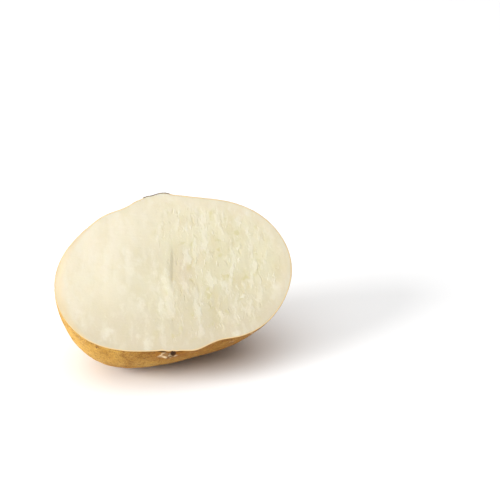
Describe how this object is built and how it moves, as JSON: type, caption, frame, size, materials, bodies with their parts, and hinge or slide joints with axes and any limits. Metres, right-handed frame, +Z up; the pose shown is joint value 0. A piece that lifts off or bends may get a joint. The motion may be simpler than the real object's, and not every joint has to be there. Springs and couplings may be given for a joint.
{
  "type": "halved jicama root",
  "caption": "Squat tan-skinned jicama root cut from crown to tail, lying on its skin with the pale, fibrous cut face leaning up.",
  "frame": {"origin": "on the resting surface, under the middle of the half's bounding box", "axes": "+Z up; +X along the root's width, to the right as one faces the cut; -Y towards the side that the cut face looks to"},
  "size_m": [0.1376, 0.1024, 0.0876],
  "materials": {
    "skin": "thin golden-tan papery skin with small dark pores, scuffs and corky scars, dull with a soft sheen",
    "flesh": "moist cream-white cut flesh with fine fibres running from crown to tail"
  },
  "bodies": {
    "root": {"jicama_half": "skin"}
  },
  "joints": []
}
